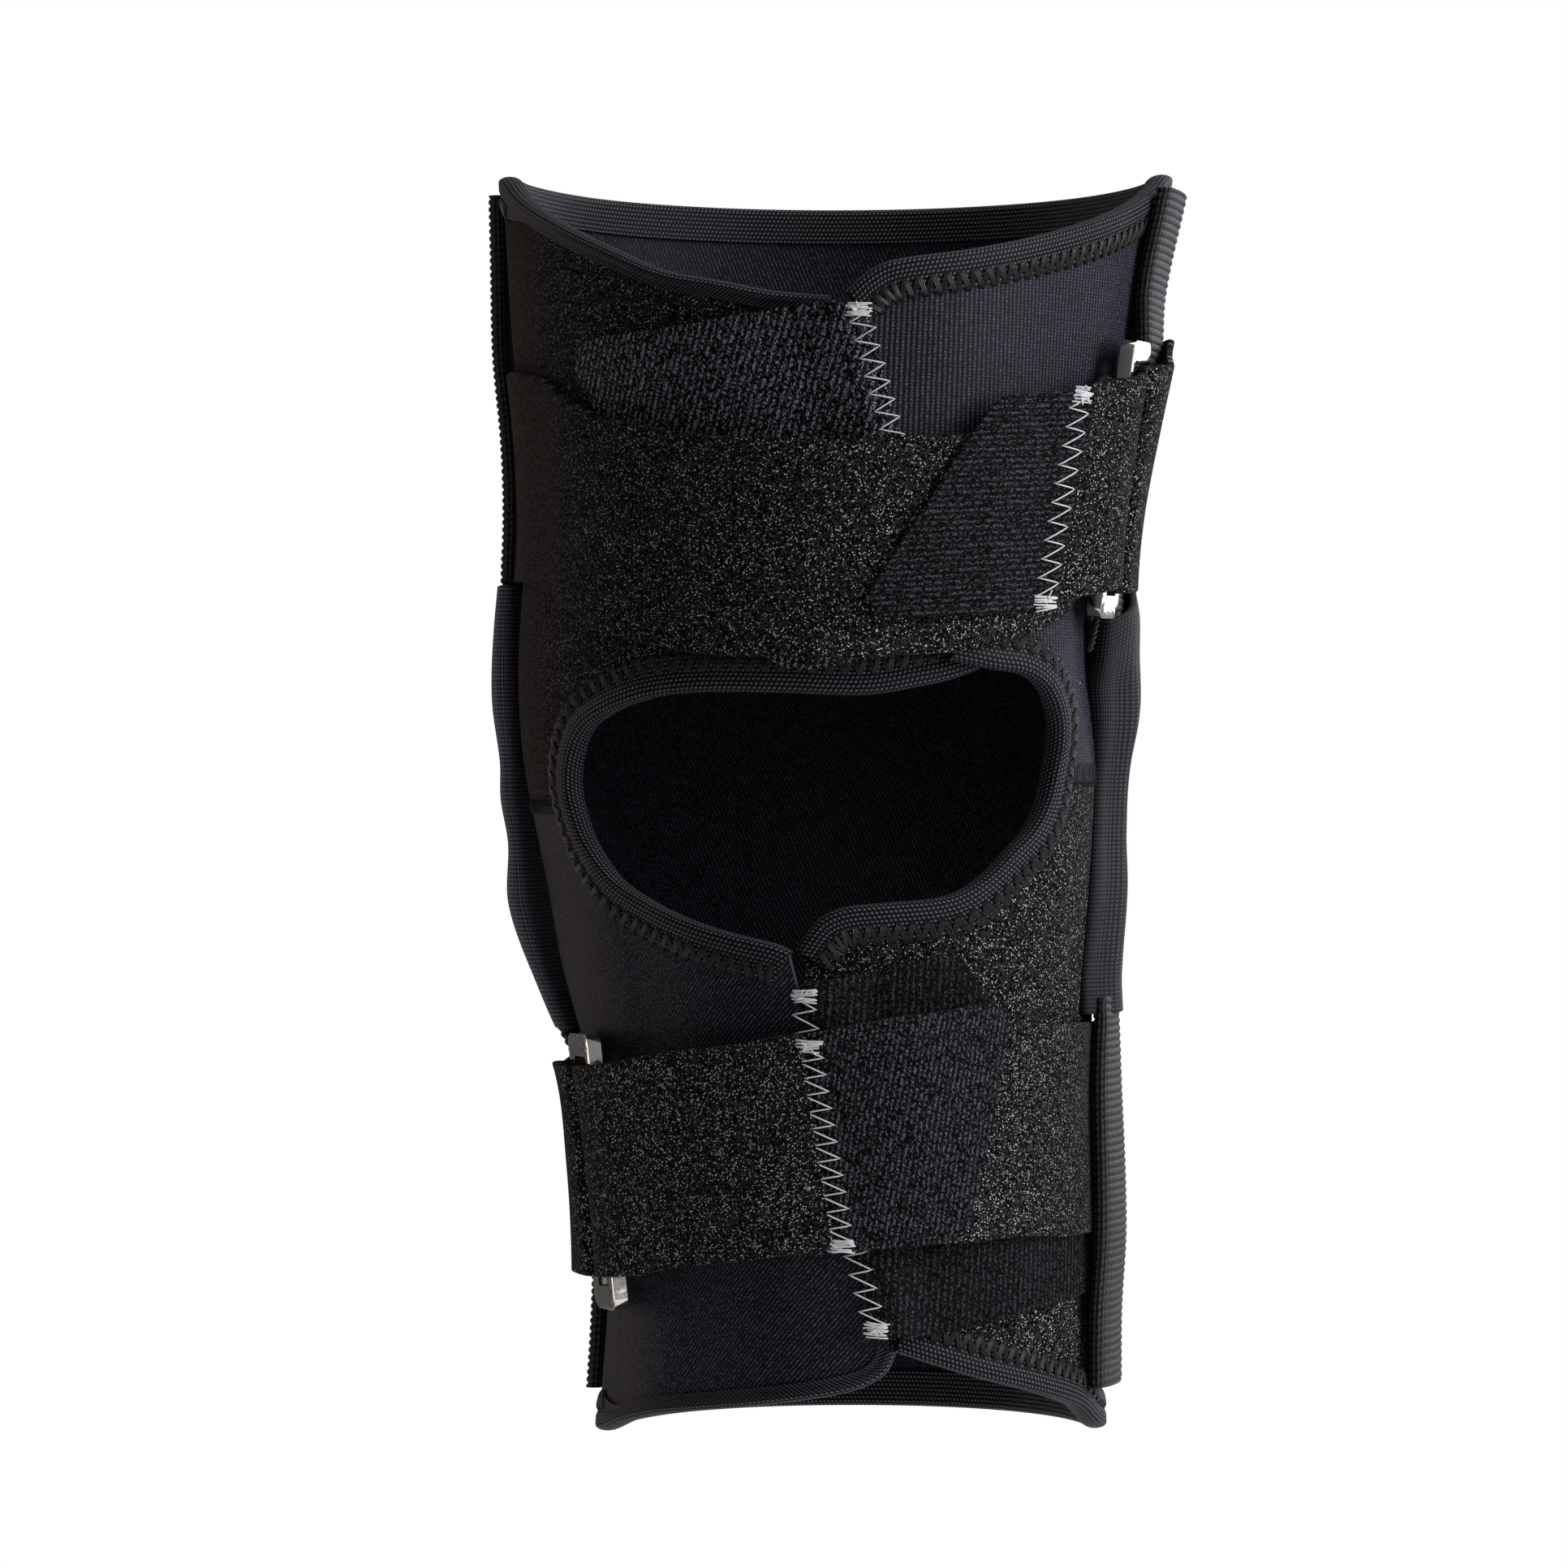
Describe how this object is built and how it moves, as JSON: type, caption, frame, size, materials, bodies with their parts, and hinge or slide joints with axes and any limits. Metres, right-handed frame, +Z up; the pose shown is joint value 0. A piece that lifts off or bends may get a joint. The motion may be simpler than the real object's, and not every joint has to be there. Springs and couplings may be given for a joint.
{
  "type": "hinged knee brace",
  "caption": "Wraparound neoprene knee brace with side hinges in webbing pockets, hook tabs, cinch straps through metal rings and an open kneecap.",
  "frame": {"origin": "on the axis of the hollow at the height of the hinges", "axes": "+Z up along the hollow, -Y out of the open kneecap at the front, +X to the viewer's right from the front"},
  "size_m": [0.1612, 0.1593, 0.2905],
  "materials": {
    "loop_fabric": "brushed loop pile",
    "smooth_neoprene": "smooth nylon-faced neoprene",
    "hook_tab": "rough knit backing",
    "binding": "knit tape",
    "webbing": "coarse ribbed weave",
    "cover_neoprene": "fine-knit-faced neoprene",
    "ring_metal": "polished nickel plate",
    "hinge_metal": "bright steel strip",
    "thread": "sewing thread"
  },
  "bodies": {
    "root": {"thigh_panel_left": "loop_fabric", "thigh_panel_right": "smooth_neoprene", "calf_panel_left": "smooth_neoprene", "calf_panel_right": "loop_fabric", "back_panel": "smooth_neoprene", "top_binding": "binding", "bottom_binding": "binding", "opening_binding_left": "binding", "opening_binding_right": "binding", "thigh_tab": "hook_tab", "calf_tab": "hook_tab", "thigh_strap": "loop_fabric", "calf_strap": "loop_fabric", "thigh_strap_tab": "hook_tab", "calf_strap_tab": "hook_tab", "thigh_ring": "ring_metal", "calf_ring": "ring_metal", "webbing_thigh_left": "webbing", "webbing_thigh_right": "webbing", "webbing_calf_left": "webbing", "webbing_calf_right": "webbing", "hinge_cover_left": "cover_neoprene", "hinge_cover_right": "cover_neoprene", "hinge_left": "hinge_metal", "hinge_right": "hinge_metal"}
  },
  "joints": []
}
